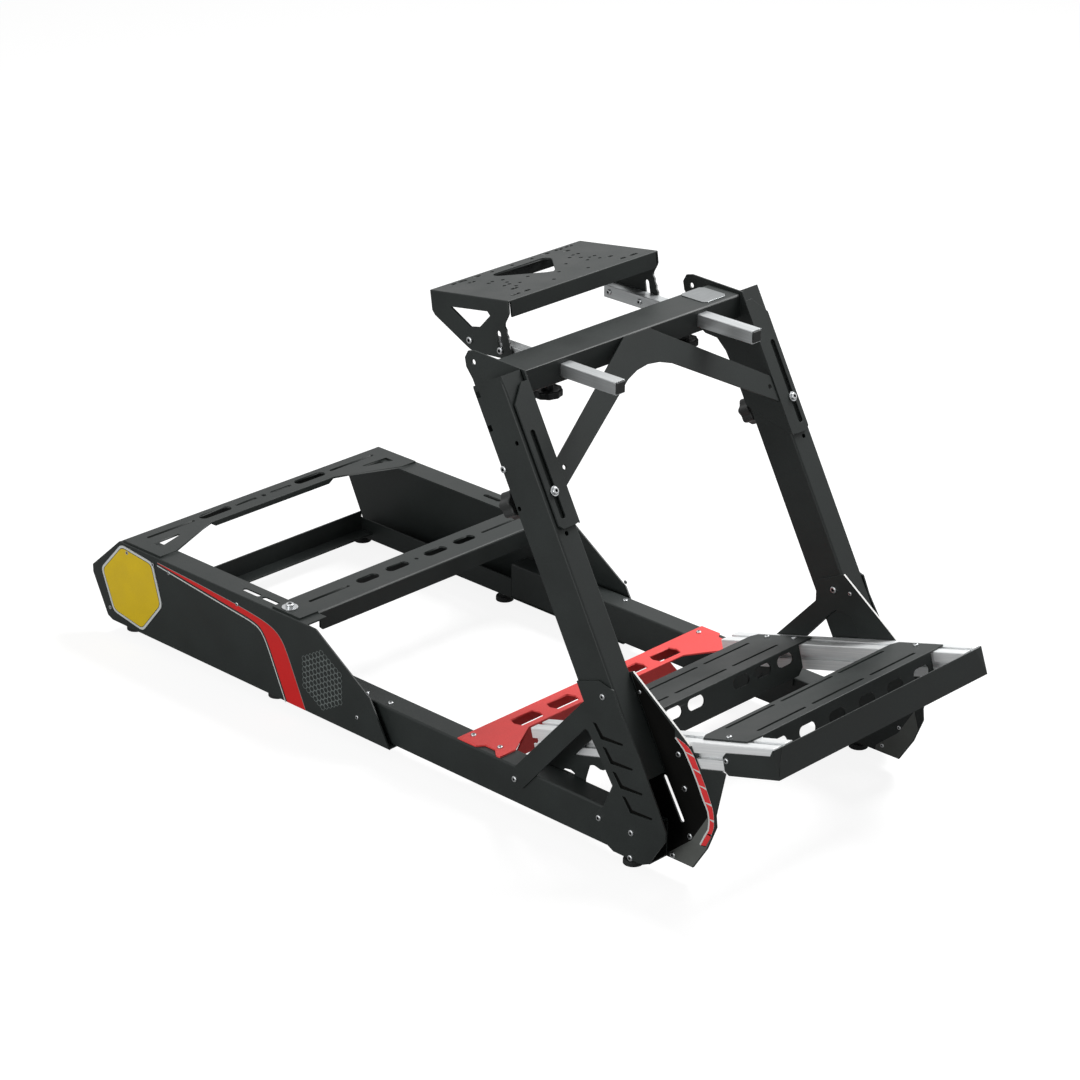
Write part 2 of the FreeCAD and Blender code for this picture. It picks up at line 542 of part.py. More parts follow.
# beam brace: a V plate from the middle of the beam to both brackets
body = start_body("beam_brace", ("upright_x", 0, "upright_z"), "lean")
end = (WEB_INNER, -0.3)
plate = [(flip(-1, end), 187), (-26, "brace_high"), (26, "brace_high"), (end, 187), (end, 147), (48, 256),
         (25, 264), (0, 267), (-25, 264), (-48, 256), (flip(-1, end), 147)]
add_sheet(body, "YZ", 0, "brace_sheet", ("polygon", plate), [("circle", flip(side, end, -9), 173, 3.5)
                                                             for side in (-1, 1)])

# reach arms: square tubes through the beam, closed by end caps
ARM_TOP = ("arm_low", "arm_side")
ARM_MIDDLE = ("arm_low", DIMS["arm_side"] / 2)
for word, side in SIDES:
    body = start_body(word + "_reach_arm")
    outer = ("arm_line", DIMS["arm_side"] / 2)
    inner = ("arm_line", -DIMS["arm_side"] / 2)
    wall = box_outline("arm_rear", "arm_front", "arm_low", ARM_TOP)
    bolts = [("circle", place, ARM_MIDDLE, ("tilt_bolt_radius", "tilt_bolt_gap"))
             for place in ("pivot_x", "lock_x")]
    add_sheet(body, "XZ", wall_level(side, outer, "arm_wall"), "arm_wall", wall, bolts)
    across = box_outline("arm_rear", "arm_front", flip(side, inner), flip(side, outer))
    add_sheet(body, "XY", "arm_low", "arm_wall", across)
    add_sheet(body, "XY", (ARM_TOP, "-arm_wall"), "arm_wall", across)
    add_sheet(body, "XZ", wall_level(side, (inner, "arm_wall"), "arm_wall"), "arm_wall", wall, bolts)
body = start_body("arm_end_caps")
body.AllowCompound = True
for word, side in SIDES:
    for level in ("arm_front", ("arm_rear", "-cap_thick")):
        add_sheet(body, "YZ", level, "cap_thick", box_outline(flip(side, inner), flip(side, outer),
                                                              "arm_low", ARM_TOP))

# wheel deck: a folded plate on two cheeks; its own frame stands at the tilt pivot
body = start_body("wheel_deck", ("pivot_x", 0, ARM_MIDDLE), "deck_tilt")
half = ("arm_line", DIMS["arm_side"] / 2, "cheek_gap", "deck_sheet")
top_low = ("deck_height", "-deck_sheet")
window = [(-51, -50), (-51, 50), (-47, 56), (-40, 58), (-33, 55), (18, 9), (23, 0), (18, -9), (-33, -55),
          (-40, -58), (-47, -56)]
SLOTS = [(-64, 123, 5), (-64, 101, 5), (-64, 73, 5), (-46.5, 100, 4), (41.5, 100, 4), (67.5, 101, 4),
         (67.5, 124, 6)]
ROUND = [(-63, 42), (59, 36), (9.5, 40), (24, 71), (-12, 70.5), (-19, 85), (-17, 94.6), (4, 78),
         (15.5, 84.5), (33, 88), (16, 95)]
add_sheet(body, "XY", top_low, "deck_sheet", box_outline("deck_rear", "deck_front", flip(-1, half), half),
          [("polygon", window), ("circle", -63, 0, "deck_hole_radius"),
           ("circle", 34, 0, "deck_hole_radius")])
for side in (-1, 1):
    holes = [("circle", along, side * out, "deck_hole_radius") for along, out in ROUND]
    for along, out, long in SLOTS:
        holes.append(("slot", along, side * out - long, along, side * out + long, "deck_hole_radius"))
    add_holes(body, "deck_height", "deck_sheet", holes)
for side in (-1, 1):
    cheek = [("deck_rear", "deck_height"), ("deck_rear", 38), (("deck_rear", 6), 29.5), (-10, -9),
             (0, -15), (26, -18), (60, -20), (84, -14), (84, -7)]
    for tooth in range(1, 8):
        cheek.append((round(84 - 9 * tooth / 8 - 1.8 * (tooth % 2), 2), round(-7 + 5 * tooth, 2)))
    cheek += [(75, 33), (83, 44), ("deck_front", 50), ("deck_front", "deck_height")]
    triangle = [(-34, 46), (42, 47), (46.5, 41), (22.5, 21.5), (4, 20)]
    pivot = ("circle", 0, 0, ("tilt_bolt_radius", "tilt_bolt_gap"))
    lock = ("slot", ("lock_x", "-pivot_x", -0.1), -8.8, ("lock_x", "-pivot_x", -1.4), 16.5,
            "lock_slot_radius")
    add_sheet(body, "XZ", wall_level(side, half, "deck_sheet"), "deck_sheet", ("polygon", cheek),
              [("polygon", triangle), pivot, lock])
edge = (half, "-deck_sheet", -3)
add_sheet(body, "YZ", ("deck_front", "-deck_sheet"), "deck_sheet",
          box_outline(flip(-1, edge), edge, ("deck_height", "-deck_lip"), "deck_height"))
add_sheet(body, "YZ", "deck_rear", "deck_sheet",
          box_outline(flip(-1, edge), edge, ("deck_height", "-deck_rear_lip"), "deck_height"))

# tilt bolts: pivot and lock bolts through the cheeks and the arms
BOLT_OUT = (half, "cheek_gap")
BOLT_IN = ("arm_line", -DIMS["arm_side"] / 2, -0.4)
for word, side in SIDES:
    for spot, place in (("pivot", "pivot_x"), ("lock", "lock_x")):
        body = start_body(word + "_tilt_" + spot + "_bolt")
        shank = (BOLT_OUT, flip(-1, BOLT_IN))
        add_sheet(body, "XZ", wall_level(side, BOLT_OUT, shank), shank,
                  ("circle", place, ARM_MIDDLE, "tilt_bolt_radius"))
        add_sheet(body, "XZ", wall_level(side, (BOLT_OUT, 4), 4), 4, ("circle", place, ARM_MIDDLE, 6.5))
        add_sheet(body, "XZ", wall_level(side, BOLT_IN, 4), 4, ("circle", place, ARM_MIDDLE, 6.5))

# height clamp knobs: a bolt through bracket slot and upright, with a star knob behind
for word, side in SIDES:
    body = start_body(word + "_height_knob", ("upright_x", 0, "upright_z"), "lean")
    place = (flip(side, CLAMP_LINE), "clamp_height")
    head = (FRONT, 0.4)
    behind = (flip(-1, "upright_deep"), "-hub_gap", "-height_knob_hub")
    add_sheet(body, "YZ", behind, (head, flip(-1, behind)), ("circle",) + place + ("clamp_bolt_radius",))
    add_sheet(body, "YZ", behind, "height_knob_hub", ("circle",) + place + (10,))
    add_sheet(body, "YZ", head, 5, ("circle",) + place + (7,))
    star = []
    for tip in range(14):
        reach = 1.0 if tip % 2 else 0.86
        angle = math.pi * tip / 7
        radius = DIMS["height_knob_radius"] * reach
        star.append(((place[0], round(side * radius * math.cos(angle), 3)),
                     (place[1], round(radius * math.sin(angle), 3))))
    add_sheet(body, "YZ", (behind, "-height_knob_long"), "height_knob_long", ("polygon", star))

# arm clamp knobs: hand screws under the beam
for word, side in SIDES:
    body = start_body(word + "_arm_knob")
    place = ("arm_knob_x", flip(side, "arm_line"))
    top = ("arm_knob_low", "arm_knob_tall")
    add_sheet(body, "XY", "arm_knob_low", "arm_knob_tall", ("circle",) + place + ("arm_knob_radius",))
    add_sheet(body, "XY", top, ("arm_low", flip(-1, top), -0.5), ("circle",) + place + ("clamp_bolt_radius",))
    add_sheet(body, "XY", top, (low, flip(-1, top)), ("circle",) + place + (9,))

doc.recompute()
for thing in doc.Objects:
    if "Invalid" in thing.State or "Error" in thing.State:
        raise RuntimeError("%s did not build" % thing.Label)
os.makedirs("parts", exist_ok=True)
for body in doc.findObjects("PartDesign::Body"):
    if body.Shape.isNull() or not body.Shape.isValid():
        raise RuntimeError("%s has no valid shape" % body.Label)
    body.Shape.exportStep("parts/%s.step" % body.Label)
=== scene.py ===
import json
import math

import bmesh
import bpy
from mathutils import Matrix, Vector

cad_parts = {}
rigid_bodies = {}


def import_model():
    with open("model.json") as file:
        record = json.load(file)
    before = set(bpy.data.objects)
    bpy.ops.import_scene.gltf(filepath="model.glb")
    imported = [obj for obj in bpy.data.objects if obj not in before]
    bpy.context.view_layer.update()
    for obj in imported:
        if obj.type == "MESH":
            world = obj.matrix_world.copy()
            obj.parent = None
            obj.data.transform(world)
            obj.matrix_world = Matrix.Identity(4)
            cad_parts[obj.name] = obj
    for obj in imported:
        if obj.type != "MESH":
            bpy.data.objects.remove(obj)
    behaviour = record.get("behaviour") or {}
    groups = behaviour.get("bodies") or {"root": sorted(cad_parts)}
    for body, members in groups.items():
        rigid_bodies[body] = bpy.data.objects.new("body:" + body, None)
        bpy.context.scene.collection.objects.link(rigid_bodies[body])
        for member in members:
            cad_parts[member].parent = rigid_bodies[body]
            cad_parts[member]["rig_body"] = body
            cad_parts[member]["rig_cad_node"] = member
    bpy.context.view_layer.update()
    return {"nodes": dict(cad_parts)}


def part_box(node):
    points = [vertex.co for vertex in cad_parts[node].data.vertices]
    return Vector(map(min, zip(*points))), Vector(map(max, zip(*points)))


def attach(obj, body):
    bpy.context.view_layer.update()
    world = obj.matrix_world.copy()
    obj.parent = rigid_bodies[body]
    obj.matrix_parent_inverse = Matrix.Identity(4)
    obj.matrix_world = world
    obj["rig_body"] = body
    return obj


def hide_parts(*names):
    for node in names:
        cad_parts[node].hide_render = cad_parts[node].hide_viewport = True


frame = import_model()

scene = bpy.context.scene

# Lower rails and uprights: rectangular steel tube, cold rolled with round corners and sawn to length. They
# are bolted between the gusset plates and powder coated black: baked polyester, semi-matt, with a fine grain
# that breaks up the light.
MM = 0.001
SIDES = (("right", -1), ("left", 1))
WIDE_FACE = 4.5
SHORTEST_FOLD = 12


def linear(code):
    """An sRGB hex colour as linear red, green, blue and alpha."""
    parts = [int(code[place:place + 2], 16) / 255 for place in (1, 3, 5)]
    return [part / 12.92 if part <= 0.04045 else ((part + 0.055) / 1.055) ** 2.4 for part in parts] + [1]


def add_node(tree, kind, sockets=(), **settings):
    """Adds a node, sets its properties and fills its sockets with values or with other nodes' outputs."""
    node = tree.nodes.new(kind)
    for name, value in settings.items():
        setattr(node, name, value)
    for socket, value in dict(sockets).items():
        if isinstance(value, bpy.types.NodeSocket):
            tree.links.new(value, node.inputs[socket])
        else:
            node.inputs[socket].default_value = value
    return node


def noise(tree, place, grain_mm, detail):
    """A cloudy pattern whose grains are grain_mm wide, as a factor."""
    sockets = {"Vector": place, "Scale": 1 / (grain_mm * MM), "Detail": detail}
    return add_node(tree, "ShaderNodeTexNoise", sockets).outputs["Fac"]


def tone_ramp(tree, factor, dark, light, low=0, high=1):
    """A colour that runs from dark to light while a factor runs from low to high."""
    ramp = add_node(tree, "ShaderNodeValToRGB", {"Fac": factor})
    for end, position, colour in zip(ramp.color_ramp.elements, (low, high), (dark, light)):
        end.position = position
        end.color = linear(colour)
    return ramp.outputs["Color"]


def new_material(name):
    material = bpy.data.materials.new(name)
    material.use_nodes = True
    tree = material.node_tree
    return material, tree, tree.nodes["Principled BSDF"]


def grained_coat(name, dark, light, rough, grain_mm, patch_mm, specular):
    """A baked or moulded skin: fine grain in the bump, slow patches in tone and gloss."""
    material, tree, shader = new_material(name)
    place = add_node(tree, "ShaderNodeTexCoord").outputs["Object"]
    grain = noise(tree, place, grain_mm, 3)
    patch = noise(tree, place, patch_mm, 4)
    blend = add_node(tree, "ShaderNodeMath", {0: patch, 1: grain}, operation="MULTIPLY")
    tone = tone_ramp(tree, blend.outputs["Value"], dark, light, 0.12, 0.42)
    spread = {"Value": patch, 1: 0.3, 2: 0.7, 3: rough - 0.05, 4: rough + 0.06}
    gloss = add_node(tree, "ShaderNodeMapRange", spread)
    bump = add_node(tree, "ShaderNodeBump", {"Height": grain, "Strength": 0.16, "Distance": 0.25 * MM})
    tree.links.new(tone, shader.inputs["Base Color"])
    tree.links.new(gloss.outputs["Result"], shader.inputs["Roughness"])
    tree.links.new(bump.outputs["Normal"], shader.inputs["Normal"])
    shader.inputs["Specular IOR Level"].default_value = specular
    return material


# The real grain is about 0.3 mm; it is drawn at 1.6 mm so that it shows at all.
black_coat = grained_coat("powder coat, black", "#1b1f1e", "#232827", 0.5, 1.6, 70, 0.3)


def select_only(piece):
    bpy.ops.object.select_all(action="DESELECT")
    piece.select_set(True)
    bpy.context.view_layer.objects.active = piece


def pick_edges(piece, test):
    """In edit mode, selects the edges that pass a test and tells whether there are any."""
    bpy.ops.mesh.select_mode(type="EDGE")
    bpy.ops.mesh.select_all(action="DESELECT")
    shape = bmesh.from_edit_mesh(piece.data)
    shape.normal_update()
    found = [edge for edge in shape.edges if len(edge.link_faces) == 2 and test(edge)]
    for edge in found:
        edge.select_set(True)
    bmesh.update_edit_mesh(piece.data)
    return bool(found)


def face_width(face):
    return 2 * face.calc_area() / max(face.calc_perimeter(), 1e-9)


def is_fold(edge):
    """A convex right-angled edge between two wide faces: a folded or rolled corner, not a cut edge."""
    square = edge.is_convex and edge.calc_face_angle() > 1.0 and edge.calc_length() > SHORTEST_FOLD * MM
    return square and min(face_width(face) for face in edge.link_faces) > WIDE_FACE * MM


def is_cut(edge):
    return edge.is_convex and edge.calc_face_angle() > 0.65


def is_border(edge):
    """The rim of a wide face, which keeps the face flat beside a rounded edge."""
    widest = max(face_width(face) for face in edge.link_faces)
    return edge.calc_face_angle(0) > 0.02 and widest > WIDE_FACE * MM


def smooth(piece, degrees=50):
    select_only(piece)
    bpy.ops.object.shade_smooth_by_angle(angle=math.radians(degrees))
    bpy.ops.object.mode_set(mode="EDIT")
    if pick_edges(piece, is_border):
        bpy.ops.mesh.mark_sharp()
    bpy.ops.object.mode_set(mode="OBJECT")
    bpy.ops.object.modifier_add(type="WEIGHTED_NORMAL")
    piece.modifiers[-1].keep_sharp = True
    bpy.ops.object.modifier_apply(modifier=piece.modifiers[-1].name)


def finished(piece, material, body):
    if piece.data.materials:
        piece.data.materials.clear()
    piece.data.materials.append(material)
    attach(piece, body)
    return piece


def dressed(node, fold, cut, material=black_coat, body="chassis"):
    """A merged copy that stands for a solid: folds rounded by fold mm, cut edges broken by cut mm."""
    select_only(frame["nodes"][node])
    bpy.ops.object.duplicate()
    piece = bpy.context.object
    piece.name = node + "_finished"
    del piece["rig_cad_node"]
    del piece["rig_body"]
    bpy.ops.object.mode_set(mode="EDIT")
    bpy.ops.mesh.select_all(action="SELECT")
    bpy.ops.mesh.remove_doubles(threshold=0.002 * MM)
    bpy.ops.mesh.dissolve_limited(angle_limit=math.radians(0.5))
    if fold and pick_edges(piece, is_fold):
        bpy.ops.mesh.bevel(offset=fold * MM, segments=4, clamp_overlap=True)
    if cut and pick_edges(piece, is_cut):
        bpy.ops.mesh.bevel(offset=cut * MM, segments=2, clamp_overlap=True)
    bpy.ops.object.mode_set(mode="OBJECT")
    smooth(piece)
    finished(piece, material, body)
    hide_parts(node)
    return piece


for word, side in SIDES:
    dressed(word + "_lower_rail", 3, 0.4)
    dressed(word + "_upright", 3, 0.4)

# Side panels: 2.5 mm sheet steel, laser cut, folded on a brake and powder coated like the tubes. Each is
# screwed to its rail by low button-head screws of zinc-plated steel and carries a red and white stripe of
# printed film and a patch of fine hexagons.
PANEL_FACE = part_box("right_side_panel")[0].y / -MM
PANEL_SCREWS = ((-77.5, 49.5), (-512.5, 150.5), (-348.5, 149.5), (-52.5, 98.5))
STRIPE_OUTER = ((-540, 159.4), (-441, 154.6), (-346, 148.2), (-290, 142), (-268, 137), (-249, 127),
                (-236, 108), (-194.5, 19.6))
STRIPE_INNER = ((-540, 158.6), (-461, 150), (-366, 140), (-312, 134.5), (-292, 127.5), (-278, 108),
                (-236.5, 19.6))
STRIPE_ROUND = 18
FILM = 0.15

zinc, tree, shader = new_material("zinc plated steel, bright")
place = add_node(tree, "ShaderNodeTexCoord").outputs["Object"]
cloud = noise(tree, place, 3, 3)
tree.links.new(tone_ramp(tree, cloud, "#a2a5a7", "#d4d6d7"), shader.inputs["Base Color"])
gloss = add_node(tree, "ShaderNodeMapRange", {"Value": cloud, 3: 0.22, 4: 0.4})
tree.links.new(gloss.outputs["Result"], shader.inputs["Roughness"])
shader.inputs["Metallic"].default_value = 1
# The sockets of the screws are coated dark: painted shade for their hollows.
socket_painted_shade = grained_coat("screw socket, painted shade", "#121212", "#1b1b1b", 0.6, 1.2, 20, 0.2)


def thin_film(name, colour, faded, specular=0.4):
    """Thin film: even colour with a faint mottle under a satin skin, for print and for painted light and
    shade.
    """
    return grained_coat(name, faded, colour, 0.45, 1.2, 40, specular)


red_film = thin_film("printed film, red", "#d81e1e", "#cc1919")
white_film = thin_film("printed film, white", "#d9dcda", "#cdd0ce")
grey_film = thin_film("printed film, grey", "#8a9290", "#7d8583")


def pick_faces(piece, test):
    """In edit mode, selects the faces that pass a test."""
    bpy.ops.mesh.select_mode(type="FACE")
    bpy.ops.mesh.select_all(action="DESELECT")
    shape = bmesh.from_edit_mesh(piece.data)
    shape.normal_update()
    for face in shape.faces:
        face.select_set(bool(test(face)))
    bmesh.update_edit_mesh(piece.data)


def new_cylinder(name, radius, low, high, sides):
    """A cylinder on the Z axis, sizes in millimetres."""
    bpy.ops.object.select_all(action="DESELECT")
    middle = (0, 0, (low + high) / 2 * MM)
    bpy.ops.mesh.primitive_cylinder_add(vertices=sides, radius=radius * MM, depth=(high - low) * MM,
                                        location=middle)
    piece = bpy.context.object
    piece.name = name
    bpy.ops.object.transform_apply()
    return piece


def cut_away(piece, tool):
    select_only(piece)
    bpy.ops.object.modifier_add(type="BOOLEAN")
    piece.modifiers[-1].operation = "DIFFERENCE"
    piece.modifiers[-1].object = tool
    bpy.ops.object.modifier_apply(modifier=piece.modifiers[-1].name)
    bpy.data.objects.remove(tool)


def button_screw(name, radius, tall):
    """A low domed head with a hexagon socket, standing on the origin and looking along Z."""
    head = new_cylinder(name, radius, -0.3, tall, 32)
    bpy.ops.object.mode_set(mode="EDIT")
    pick_edges(head, lambda edge: all(vert.co.z > 0 for vert in edge.verts) and edge.calc_face_angle() > 1)
    bpy.ops.mesh.bevel(offset=min(0.75 * tall, 0.3 * radius) * MM, segments=4, clamp_overlap=True)
    bpy.ops.object.mode_set(mode="OBJECT")
    cut_away(head, new_cylinder("socket", 0.5 * radius, 0.15 * tall, tall + 2, 6))
    # Faces inside the socket take the second material, the painted shade.
    for face in head.data.polygons:
        within = max(math.hypot(*head.data.vertices[corner].co[:2]) for corner in face.vertices)
        face.material_index = int(within < 0.52 * radius * MM and face.center.z > 0)
    smooth(head, 40)
    return head


def stand(pattern, name, spot, out, body="chassis"):
    """A copy of a small part with its own mesh, stood on a spot (millimetres) and looking along out."""
    piece = pattern.copy()
    piece.data = pattern.data.copy()
    piece.name = name
    turn = Vector((0, 0, 1)).rotation_difference(Vector(out)).to_matrix().to_4x4()
    piece.data.transform(Matrix.Translation(Vector(spot) * MM) @ turn)
    scene.collection.objects.link(piece)
    finished(piece, zinc, body)
    # A screw with a socket takes the painted socket shade as its second material.
    if any(face.material_index for face in piece.data.polygons):
        piece.data.materials.append(socket_painted_shade)
    return piece


def stand_on_face(pattern, name, spot, side, face, out=1):
    """A small part on the face of an upright plate, at a spot along X and Z, looking out or, with -1, in."""
    stand(pattern, name, (spot[0], side * face, spot[1]), (0, out * side, 0))


def row_on_face(pattern, name, spots, side, face, out=1):
    for number, spot in enumerate(spots):
        stand_on_face(pattern, "%s_%d" % (name, number), spot, side, face, out)


def rounded(corners, radius, steps=4):
    """The corners of an outline, each drawn as a short curve that starts radius before it."""
    outline = []
    for number, corner in enumerate(corners):
        corner = Vector(corner)
        before, after = Vector(corners[number - 1]), Vector(corners[(number + 1) % len(corners)])
        start = corner + (before - corner) * min(0.5, radius / (before - corner).length)
        end = corner + (after - corner) * min(0.5, radius / (after - corner).length)
        for step in range(steps + 1):
            share = step / steps
            outline.append((1 - share) ** 2 * start + 2 * share * (1 - share) * corner + share ** 2 * end)
    return outline


def flat_piece(name, outline, side, face, thick, material):
    """A thin flat piece standing on the outer face of a plate: outline in millimetres along X and Z."""
    bpy.ops.object.select_all(action="DESELECT")
    bpy.ops.mesh.primitive_circle_add(vertices=len(outline), radius=10 * MM, fill_type="NGON")
    piece = bpy.context.object
    piece.name = name
    for corner, (along, up) in zip(piece.data.vertices, outline):
        corner.co = (along * MM, side * face * MM, up * MM)
    piece.data.update()
    if piece.data.polygons[0].normal.y * side < 0:
        bpy.ops.object.mode_set(mode="EDIT")
        bpy.ops.mesh.select_all(action="SELECT")
        bpy.ops.mesh.flip_normals()
        bpy.ops.object.mode_set(mode="OBJECT")
    bpy.ops.object.modifier_add(type="SOLIDIFY")
    piece.modifiers[-1].thickness = thick * MM
    piece.modifiers[-1].offset = 1
    bpy.ops.object.modifier_apply(modifier=piece.modifiers[-1].name)
    return finished(piece, material, "chassis")


def shifted(line, gap):
    """A line of points moved sideways by gap, for a band beside it."""
    moved = []
    for number, point in enumerate(line):
        before, after = Vector(line[max(0, number - 1)]), Vector(line[min(len(line) - 1, number + 1)])
        along = (after - before).normalized()
        moved.append(Vector(point) + gap * Vector((along.y, -along.x)))
    return moved


def softened(line, radius):
    """An open line with its inner corners rounded; the five points of each end corner give way to the end."""
    return [Vector(line[0])] + rounded(line, radius)[5:-5] + [Vector(line[-1])]


low_screw = button_screw("low screw", 3.2, 1.4)
for word, side in SIDES:
    dressed(word + "_side_panel", 2.5, 0.35)
    row_on_face(low_screw, word + "_panel_screw", PANEL_SCREWS, side, PANEL_FACE)
    inner, outer = softened(STRIPE_INNER, STRIPE_ROUND), softened(STRIPE_OUTER, STRIPE_ROUND)
    flat_piece(word + "_red_stripe", outer + inner[::-1], side, PANEL_FACE, FILM, red_film)
    line = shifted(inner, 3.2) + shifted(inner, 5.2)[::-1]
    flat_piece(word + "_white_line", line, side, PANEL_FACE, FILM, white_film)
    flat_piece(word + "_thin_line", outer + shifted(outer, -1)[::-1], side, PANEL_FACE, FILM, grey_film)

# Honeycomb print on the front of each panel: hexagon outlines in grey film, in rows that fill a round patch.
# The film is as thin as the stripe's.
HEXAGON = 9.2
CELL_RADIUS = 0.55 * HEXAGON
CELL_LINE = 0.45
CELLS_MIDDLE = (-155, 85)
CELLS_REACH = 47
for word, side in SIDES:
    cells = []
    for column in range(-5, 6):
        for row in range(-5, 6):
            along = column * HEXAGON * math.sqrt(3) / 2
            up = (row + 0.5 * (column % 2)) * HEXAGON
            if math.hypot(along, up) > CELLS_REACH:
                continue
            ring = []
            for turn in range(6):
                angle = math.pi * turn / 3
                ring.append((CELLS_MIDDLE[0] + along + CELL_RADIUS * math.cos(angle),
                             CELLS_MIDDLE[1] + up + CELL_RADIUS * math.sin(angle)))
            cell = flat_piece("cell", ring, side, PANEL_FACE, FILM, grey_film)
            select_only(cell)
            bpy.ops.object.mode_set(mode="EDIT")
            pick_faces(cell, lambda face: abs(face.normal.y) > 0.9)
            bpy.ops.mesh.inset(thickness=CELL_LINE * MM, use_individual=True)
            bpy.ops.mesh.bridge_edge_loops()
            bpy.ops.object.mode_set(mode="OBJECT")
            cells.append(cell)
    bpy.ops.object.select_all(action="DESELECT")
    for cell in cells:
        cell.select_set(True)
    bpy.context.view_layer.objects.active = cells[0]
    bpy.ops.object.join()
    cells[0].name = word + "_honeycomb"

# Number plates: 1.6 mm plates cut as long hexagons with round corners, printed yellow inside a white border
# and held over the rear end of each panel by flush screws.
yellow_print = thin_film("printed plate, yellow", "#e6c51a", "#dbba16")
# A thin dark ring between the white border and the yellow field is painted shadow at the field's edge.
plate_rim_shadow = thin_film("plate field rim, painted shadow", "#2b2b28", "#262624")
PLATE_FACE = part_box("right_number_plate")[0].y / -MM
PLATE_CORNERS = ((-629.5, 164), (-551.5, 156), (-531.5, 85.5), (-583.5, 25.5), (-656.5, 37.5),
                 (-683.5, 106.5))
PLATE_SCREWS = ((-615, 153.5), (-550.5, 153), (-665, 41))
PLATE_RADIUS = 60
BORDER_THICK = 1.2
middle = sum((Vector(corner) for corner in PLATE_CORNERS), Vector((0, 0))) / 6


def drawn_in(corners, gap):
    """The outline of the plate, drawn in towards its middle."""
    return [middle + (Vector(corner) - middle) * (1 - gap / PLATE_RADIUS) for corner in corners]


flush_screw = button_screw("flush screw", 3.2, 0.18)
for word, side in SIDES:
    back = flat_piece(word + "_plate_border", rounded(PLATE_CORNERS, 9), side, PANEL_FACE, BORDER_THICK,
                      white_film)
    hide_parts(word + "_number_plate")
    # The thin ring under the field is painted shadow; the field itself is printed yellow.
    for name, gap, thick, ink in (("line", 3.6, 0.1, plate_rim_shadow), ("field", 4.5, 0.2, yellow_print)):
        flat_piece("%s_plate_%s" % (word, name), rounded(drawn_in(PLATE_CORNERS, gap), 8), side,
                   PANEL_FACE + BORDER_THICK, thick, ink)
    row_on_face(flush_screw, word + "_plate_screw", PLATE_SCREWS, side, PLATE_FACE - 0.2)

# Seat bars and rear cross member: 3 mm sheet steel, laser cut with long slots, folded into channels and
# powder coated. The front bar's tongues are bolted through the panels' slots with large washers.
for node in ("rear_seat_bar", "front_seat_bar", "rear_cross_member"):
    dressed(node, 3, 0.4)
bar_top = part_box("front_seat_bar")[1].z / MM
large_screw = button_screw("large screw", 5.4, 3.6)
bar_screw = button_screw("bar screw", 6.8, 5.5)
WASHER_THICK = 1.6
BAR_BOLT = -247.5
SLOT_LINE = PANEL_FACE - 20.5


def plain_washer(name, radius):
    """A punched washer with broken edges, standing on the origin."""
    ring = new_cylinder(name, radius, 0, WASHER_THICK, 40)
    cut_away(ring, new_cylinder("bore", 4.2, -1, 3, 24))
    select_only(ring)
    bpy.ops.object.modifier_add(type="BEVEL")
    ring.modifiers[-1].width = 0.3 * MM
    ring.modifiers[-1].segments = 2
    bpy.ops.object.modifier_apply(modifier=ring.modifiers[-1].name)
    smooth(ring, 40)
    return ring


washer = plain_washer("washer", 12.8)
clamp_washer = plain_washer("clamp washer", 7.4)
for word, side in SIDES:
    stand(washer, word + "_bar_washer", (BAR_BOLT, side * SLOT_LINE, bar_top), (0, 0, 1))
    stand(bar_screw, word + "_bar_screw", (BAR_BOLT, side * SLOT_LINE, bar_top + WASHER_THICK), (0, 0, 1))

# Levelling feet: a moulded black pad on a zinc-plated stud, which is screwed up into the frame and held by a
# nut under it, and by another above it where it goes through a flange.
black_rubber = grained_coat("moulded rubber, black", "#1d1e1e", "#272929", 0.7, 1.4, 30, 0.25)
PAD = 15
PAD_TALL = 8
STUD = 4.8
THREAD = 0.5
PITCH = 1.25
NUT = 8.2
NUT_TALL = 6
NUT_GAP = 0.2
FLANGE = 2.6
foot_pad = new_cylinder("foot pad", PAD, 0, PAD_TALL, 48)
bpy.ops.object.mode_set(mode="EDIT")
pick_edges(foot_pad, lambda edge: edge.calc_face_angle() > 1
           and all(vert.co.z > PAD_TALL / 2 * MM for vert in edge.verts))
bpy.ops.mesh.bevel(offset=3 * MM, segments=5)
pick_faces(foot_pad, lambda face: face.normal.z > 0.99)
bpy.ops.mesh.inset(thickness=3 * MM)
bpy.ops.mesh.inset(thickness=1 * MM, depth=1.2 * MM)
pick_faces(foot_pad, lambda face: face.normal.z < -0.99)
bpy.ops.mesh.inset(thickness=2.5 * MM)
bpy.ops.mesh.inset(thickness=1 * MM, depth=-1 * MM)
bpy.ops.object.mode_set(mode="OBJECT")
smooth(foot_pad, 40)


def ridged_stud(name, low, high):
    """A threaded stud, its thread drawn as rings one pitch apart."""
    root = STUD - THREAD
    lead = 0.3
    stud = new_cylinder(name, root, low, low + lead, 24)
    bpy.ops.object.mode_set(mode="EDIT")
    rings = int((high - low - lead) / PITCH)
    for ring in range(2 * rings):
        pick_faces(stud, lambda face: face.normal.z > 0.99)
        grow = STUD / root if ring % 2 == 0 else root / STUD
        bpy.ops.mesh.extrude_region_move(TRANSFORM_OT_translate={"value": (0, 0, PITCH / 2 * MM)})
        bpy.ops.transform.resize(value=(grow, grow, 1), center_override=(0, 0, 0))
    bpy.ops.object.mode_set(mode="OBJECT")
    smooth(stud, 25)
    return stud


